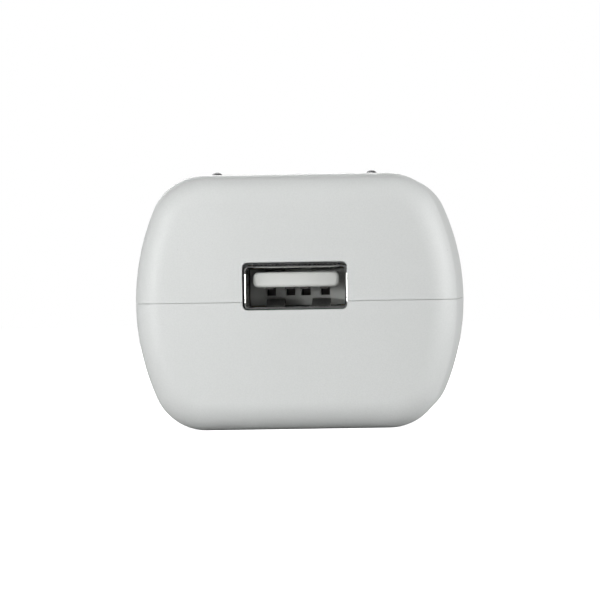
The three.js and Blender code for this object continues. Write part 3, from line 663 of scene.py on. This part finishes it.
class Nodes:
    """A short way to write a material's node tree."""

    def __init__(self, name):
        self.material = bpy.data.materials.new(name)
        self.material.use_nodes = True
        self.tree = self.material.node_tree
        self.shader = self.tree.nodes["Principled BSDF"]
        self.place = self.tree.nodes.new("ShaderNodeTexCoord").outputs["Object"]

    def link(self, source, target):
        self.tree.links.new(source, target)

    def noise(self, scale, detail, stretch=(1, 1, 1), roughness=0.5):
        mapping = self.tree.nodes.new("ShaderNodeMapping")
        mapping.inputs["Scale"].default_value = stretch
        self.link(self.place, mapping.inputs["Vector"])
        texture = self.tree.nodes.new("ShaderNodeTexNoise")
        texture.inputs["Scale"].default_value = scale
        texture.inputs["Detail"].default_value = detail
        texture.inputs["Roughness"].default_value = roughness
        self.link(mapping.outputs["Vector"], texture.inputs["Vector"])
        return texture.outputs["Fac"]

    def remap(self, value, low, high, start=0.0, end=1.0):
        node = self.tree.nodes.new("ShaderNodeMapRange")
        node.inputs["From Min"].default_value = start
        node.inputs["From Max"].default_value = end
        node.inputs["To Min"].default_value = low
        node.inputs["To Max"].default_value = high
        self.link(value, node.inputs["Value"])
        return node.outputs["Result"]

    def mix(self, factor, first, second):
        node = self.tree.nodes.new("ShaderNodeMix")
        node.data_type = "RGBA"
        self.link(factor, node.inputs["Factor"])
        # Inputs 6 and 7 and output 2 are the Mix node's colour sockets.
        for socket, value in ((node.inputs[6], first), (node.inputs[7], second)):
            if isinstance(value, tuple):
                socket.default_value = (*value, 1)
            else:
                self.link(value, socket)
        return node.outputs[2]

    def colour(self, value):
        self.link(value, self.shader.inputs["Base Color"])

    def roughness(self, value):
        self.link(value, self.shader.inputs["Roughness"])

    def bump(self, height, distance, strength):
        node = self.tree.nodes.new("ShaderNodeBump")
        node.inputs["Distance"].default_value = distance
        node.inputs["Strength"].default_value = strength
        self.link(height, node.inputs["Height"])
        self.link(node.outputs["Normal"], self.shader.inputs["Normal"])


def shell_plastic():
    """Light grey satin moulding: fine spark grain, faint clouding and a few scuffs."""
    m = Nodes("shell_plastic")
    grain = m.noise(5200, 2.0)
    cloud = m.noise(90, 3.0)
    scuff = m.remap(m.noise(900, 2.0, (1, 0.35, 1), 0.6), 0.0, 1.0, 0.76, 0.80)
    base = m.mix(m.remap(cloud, 0.0, 1.0, 0.3, 0.7), (0.655, 0.67, 0.662), (0.675, 0.69, 0.682))
    fine = m.mix(m.remap(grain, 0.0, 0.5, 0.35, 0.7), base, (0.61, 0.625, 0.617))
    m.colour(m.mix(m.remap(scuff, 0.0, 0.35), fine, (0.42, 0.42, 0.41)))
    m.roughness(m.remap(grain, 0.44, 0.56, 0.3, 0.7))
    m.bump(grain, GRAIN_RELIEF, 0.35)
    return m.material


def moulded(name, light, dark, roughness, grain_scale=3500, strength=0.3):
    """A dyed moulding with a fine grain and slightly uneven colour."""
    m = Nodes(name)
    grain = m.noise(grain_scale, 3.0)
    cloud = m.noise(160, 3.0)
    m.colour(m.mix(m.remap(cloud, 0.0, 1.0, 0.35, 0.65), light, dark))
    m.roughness(m.remap(grain, roughness - 0.06, roughness + 0.08, 0.3, 0.7))
    m.bump(grain, GRAIN_RELIEF, strength)
    return m.material


def plated(name, light, dark, roughness, stretch=0.06, strength=0.3):
    """Plated sheet metal: drawn lines along its length, and cloudy tarnish."""
    m = Nodes(name)
    m.shader.inputs["Metallic"].default_value = 1.0
    lines = m.noise(6000, 2.0, (1, stretch, 1))
    cloud = m.noise(300, 4.0)
    m.colour(m.mix(m.remap(cloud, 0.0, 1.0, 0.4, 0.7), light, dark))
    m.roughness(m.remap(lines, roughness - 0.06, roughness + 0.12, 0.3, 0.7))
    m.bump(lines, DRAWN_RELIEF, strength)
    return m.material


def coated(name, light, dark, roughness, coat, scale):
    """A glossy dipped or wrapped skin with slow waviness."""
    m = Nodes(name)
    m.shader.inputs["Coat Weight"].default_value = coat
    wave = m.noise(scale, 3.0)
    m.colour(m.mix(m.remap(wave, 0.0, 1.0, 0.35, 0.7), light, dark))
    m.roughness(m.remap(wave, roughness - 0.08, roughness + 0.1, 0.3, 0.7))
    m.bump(wave, WAVE_RELIEF, 0.25)
    return m.material


def solder_mask():
    """Green laminate with its glass weave showing faintly through the mask."""
    m = Nodes("solder_mask")
    warp = m.noise(2600, 1.0, (1, 0.1, 1))
    weft = m.noise(2600, 1.0, (0.1, 1, 1))
    multiply = m.tree.nodes.new("ShaderNodeMath")
    multiply.operation = "MULTIPLY"
    m.link(warp, multiply.inputs[0])
    m.link(weft, multiply.inputs[1])
    weave = multiply.outputs["Value"]
    m.colour(m.mix(m.remap(weave, 0.0, 1.0, 0.15, 0.4), (0.02, 0.12, 0.05), (0.035, 0.2, 0.08)))
    m.roughness(m.remap(weave, 0.3, 0.42, 0.15, 0.4))
    m.bump(weave, WEAVE_RELIEF, 0.3)
    return m.material


def dress(thing, material):
    thing.data.materials.clear()
    thing.data.materials.append(material)


# ------------------------------------------------------------------ build
MATERIALS = {
    "shell": shell_plastic(),
    "carrier": moulded("dark_moulding", (0.035, 0.036, 0.038), (0.045, 0.046, 0.049), 0.55),
    "blade": plated("nickel_plate", (0.72, 0.71, 0.68), (0.6, 0.59, 0.56), 0.22),
    "spring": plated("spring_brass", (0.72, 0.52, 0.22), (0.55, 0.38, 0.15), 0.26, 0.08),
    # The contacts' dark colour is painted shade, standing for the shade in the slots under the tongue.
    "contact": plated("contact_painted_shade", (0.2, 0.19, 0.18), (0.12, 0.115, 0.11), 0.4, 0.08),
    "usb_steel": plated("socket_steel", (0.74, 0.74, 0.73), (0.6, 0.6, 0.6), 0.15, strength=0.15),
    # A darker copy of the socket steel: painted shade on the top lip of the socket's mouth.
    "lip_steel_painted_shade": plated("lip_steel_painted_shade", (0.3, 0.3, 0.3), (0.22, 0.22, 0.22), 0.22, strength=0.1),
    # A darker copy of the socket steel: painted shade on the leaf springs inside the socket.
    "leaf_steel_painted_shade": plated("leaf_steel_painted_shade", (0.3, 0.3, 0.3), (0.24, 0.24, 0.24), 0.5, strength=0.15),
    "insulator": moulded("white_moulding", (0.64, 0.654, 0.63), (0.6, 0.613, 0.59), 0.38, 2500, 0.2),
    "board": solder_mask(),
    "ferrite": moulded("ferrite_grain", (0.035, 0.035, 0.036), (0.06, 0.058, 0.056), 0.55, 1800, 0.6),
    "bobbin": moulded("bobbin_moulding", (0.012, 0.012, 0.013), (0.02, 0.02, 0.022), 0.4),
    "tape": coated("polyester_tape", (0.78, 0.6, 0.05), (0.66, 0.47, 0.03), 0.3, 0.3, 600),
    "sleeve": coated("shrink_sleeve", (0.015, 0.02, 0.04), (0.03, 0.035, 0.06), 0.28, 0.4, 800),
    "ceramic": coated("dipped_ceramic", (0.03, 0.13, 0.4), (0.05, 0.18, 0.48), 0.3, 0.4, 700),
    "resistor": coated("resistor_lacquer", (0.13, 0.27, 0.2), (0.2, 0.34, 0.26), 0.35, 0.3, 700),
    "epoxy": moulded("chip_moulding", (0.01, 0.01, 0.011), (0.018, 0.018, 0.019), 0.45, 2600, 0.4),
}

replaced = set()


def finish_piece(thing, slot, body, *nodes, look=None):
    """Shades a piece and dresses it in its slot's material, or in the look given; hangs it on its body and
    hides the CAD nodes it stands for.
    """
    smooth(thing)
    dress(thing, MATERIALS[look or slot])
    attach(thing, body)
    if nodes:
        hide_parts(*nodes)
        replaced.update(nodes)


finish_piece(upper_shell(), "shell", "housing", "upper_shell")
finish_piece(lower_shell(), "shell", "housing", "lower_shell")
finish_piece(carrier(), "carrier", "plug", "plug_carrier")
finish_piece(blade("plug_blade_left", -BLADE["x"]), "blade", "plug", "blade_left")
finish_piece(blade("plug_blade_right", BLADE["x"]), "blade", "plug", "blade_right")
finish_piece(usb_shell(), "usb_steel", "housing", "usb_shell")
# The top lip wears the darker copy of the socket steel, which is painted shade.
finish_piece(usb_top_lip(), "usb_steel", "housing", look="lip_steel_painted_shade")
finish_piece(usb_side_lip(side=-1, start=-0.05, end=0.09, flare=0.055), "usb_steel", "housing")
finish_piece(usb_side_lip(side=1, start=0.08, end=0.17, flare=0.035), "usb_steel", "housing")
# The leaf springs wear the darker copy of the socket steel, which is painted shade.
for spring in leaf_springs():
    finish_piece(spring, "usb_steel", "housing", look="leaf_steel_painted_shade")
finish_piece(usb_insulator(), "insulator", "housing", "usb_insulator")
# The contact strips wear a dark colour that is painted shade.
for number, contact_x in enumerate(CONTACT_X, 1):
    strip_name, node_name = f"usb_contact_strip_{number}", f"usb_contact_{number}"
    finish_piece(usb_contact(strip_name, contact_x), "spring", "housing", node_name, look="contact")

# The other CAD nodes are shown as they are, in their slot's material.
node_slots = {part["node"]: part["material_slot"] for part in frame["record"]["subparts"]}
for name, node in frame["nodes"].items():
    if name not in replaced:
        dress(node, MATERIALS[node_slots[name]])
        round_edges(node, 0.05, degrees=50)


# ------------------------------------------------------------------ studio
# The floor and the sky look white to the camera, and light the object less than they look.
FLOOR = {"half": 1600, "corner": 300, "low": -4, "high": -0.02}
FLOOR_GLOW, FLOOR_BOUNCE = 0.96, 0.45
SKY_LIGHT, SKY_SEEN = 0.055, 1.0


def coloured(tree, kind, grey, strength=None):
    """A one-colour shader node's output."""
    node = tree.nodes.new(kind)
    node.inputs["Color"].default_value = (grey, grey, grey, 1)
    if strength is not None:
        node.inputs["Strength"].default_value = strength
    return node.outputs[0]


def seen_or_felt(tree, seen, felt, target):
    """Joins what the camera sees and what lights the object, by the kind of ray."""
    rays = tree.nodes.new("ShaderNodeLightPath")
    choose = tree.nodes.new("ShaderNodeMixShader")
    tree.links.new(rays.outputs["Is Camera Ray"], choose.inputs[0])
    tree.links.new(felt, choose.inputs[1])
    tree.links.new(seen, choose.inputs[2])
    tree.links.new(choose.outputs[0], target)


def studio_floor():
    half = FLOOR["half"]
    outline = rounded(-half, -half, half, half, FLOOR["corner"], 8)[::-1]
    made = loft("studio_floor", [[(x, y, z) for x, y in outline] for z in (FLOOR["low"], FLOOR["high"])])
    material = bpy.data.materials.new("studio_floor")
    material.use_nodes = True
    tree = material.node_tree
    tree.nodes.remove(tree.nodes["Principled BSDF"])
    both = tree.nodes.new("ShaderNodeAddShader")
    tree.links.new(coloured(tree, "ShaderNodeEmission", 1, FLOOR_GLOW), both.inputs[0])
    tree.links.new(coloured(tree, "ShaderNodeBsdfDiffuse", 1), both.inputs[1])
    bounced = coloured(tree, "ShaderNodeBsdfDiffuse", FLOOR_BOUNCE)
    seen_or_felt(tree, both.outputs[0], bounced, tree.nodes["Material Output"].inputs["Surface"])
    dress(made, material)


def studio_world():
    world = bpy.data.worlds.new("studio")
    bpy.context.scene.world = world
    world.use_nodes = True
    tree = world.node_tree
    tree.nodes.remove(tree.nodes["Background"])
    white = coloured(tree, "ShaderNodeBackground", 1, SKY_SEEN)
    sky = coloured(tree, "ShaderNodeBackground", 1, SKY_LIGHT)
    seen_or_felt(tree, white, sky, tree.nodes["World Output"].inputs["Surface"])


def softbox(name, place, target, size, power):
    light = bpy.data.lights.new(name, "AREA")
    light.shape = "RECTANGLE"
    light.size, light.size_y = size
    light.energy = power
    made = bpy.data.objects.new(name, light)
    bpy.context.scene.collection.objects.link(made)
    made.location = place
    made.rotation_euler = (Vector(target) - Vector(place)).to_track_quat("-Z", "Y").to_euler()


# Distance and picture width in metres, angles in degrees, and the aim beside the seam in millimetres.
CAMERA_DISTANCE, PICTURE_WIDTH = 1.0, 0.07713
VIEW_YAW, VIEW_PITCH, VIEW_ROLL = 2.0, 0.29, 0.91
AIM_X, AIM_ABOVE_SEAM = 0.55, 0.2
SENSOR = 36.0


def camera():
    data = bpy.data.cameras.new("camera")
    data.sensor_width = SENSOR
    data.lens = SENSOR * CAMERA_DISTANCE / PICTURE_WIDTH
    data.clip_start, data.clip_end = 0.01, 20
    made = bpy.data.objects.new("camera", data)
    bpy.context.scene.collection.objects.link(made)
    yaw, pitch = math.radians(VIEW_YAW), math.radians(VIEW_PITCH)
    back = Vector((math.sin(yaw) * math.cos(pitch), -math.cos(yaw) * math.cos(pitch), math.sin(pitch)))
    target = Vector((AIM_X, FRONT_Y, SEAM_Z + AIM_ABOVE_SEAM)) * MM
    made.location = target + back * CAMERA_DISTANCE
    made.rotation_mode = "QUATERNION"
    roll = Matrix.Rotation(math.radians(-VIEW_ROLL), 4, "Z").to_quaternion()
    made.rotation_quaternion = (-back).to_track_quat("-Z", "Y") @ roll
    bpy.context.scene.camera = made


studio_floor()
studio_world()

# Each lamp's place and size are in metres, and its power in watts.
middle = (0, 0, SEAM_Z * MM)
softbox("near_left", (-0.2, -0.24, 0.06), middle, (0.12, 0.12), 0.27)
softbox("beside_left", (-0.14, -0.13, 0.04), middle, (0.08, 0.08), 0.105)
softbox("low_left", (-0.4, -0.8, 0.045), middle, (0.3, 0.08), 0.71)
softbox("front_right", (0.6, -0.42, 0.12), middle, (0.3, 0.3), 1.9)
softbox("side_right", (0.7, -0.12, 0.15), middle, (0.4, 0.3), 2.85)
softbox("high_front", (0, -0.6, 0.6), middle, (0.5, 0.4), 0.62)
softbox("top_light", (0, 0, 0.8), middle, (0.6, 0.6), 0.75)
softbox("behind", (-0.15, 0.85, 0.4), middle, (0.5, 0.4), 4.5)
camera()
bpy.context.scene.view_settings.view_transform = "Standard"
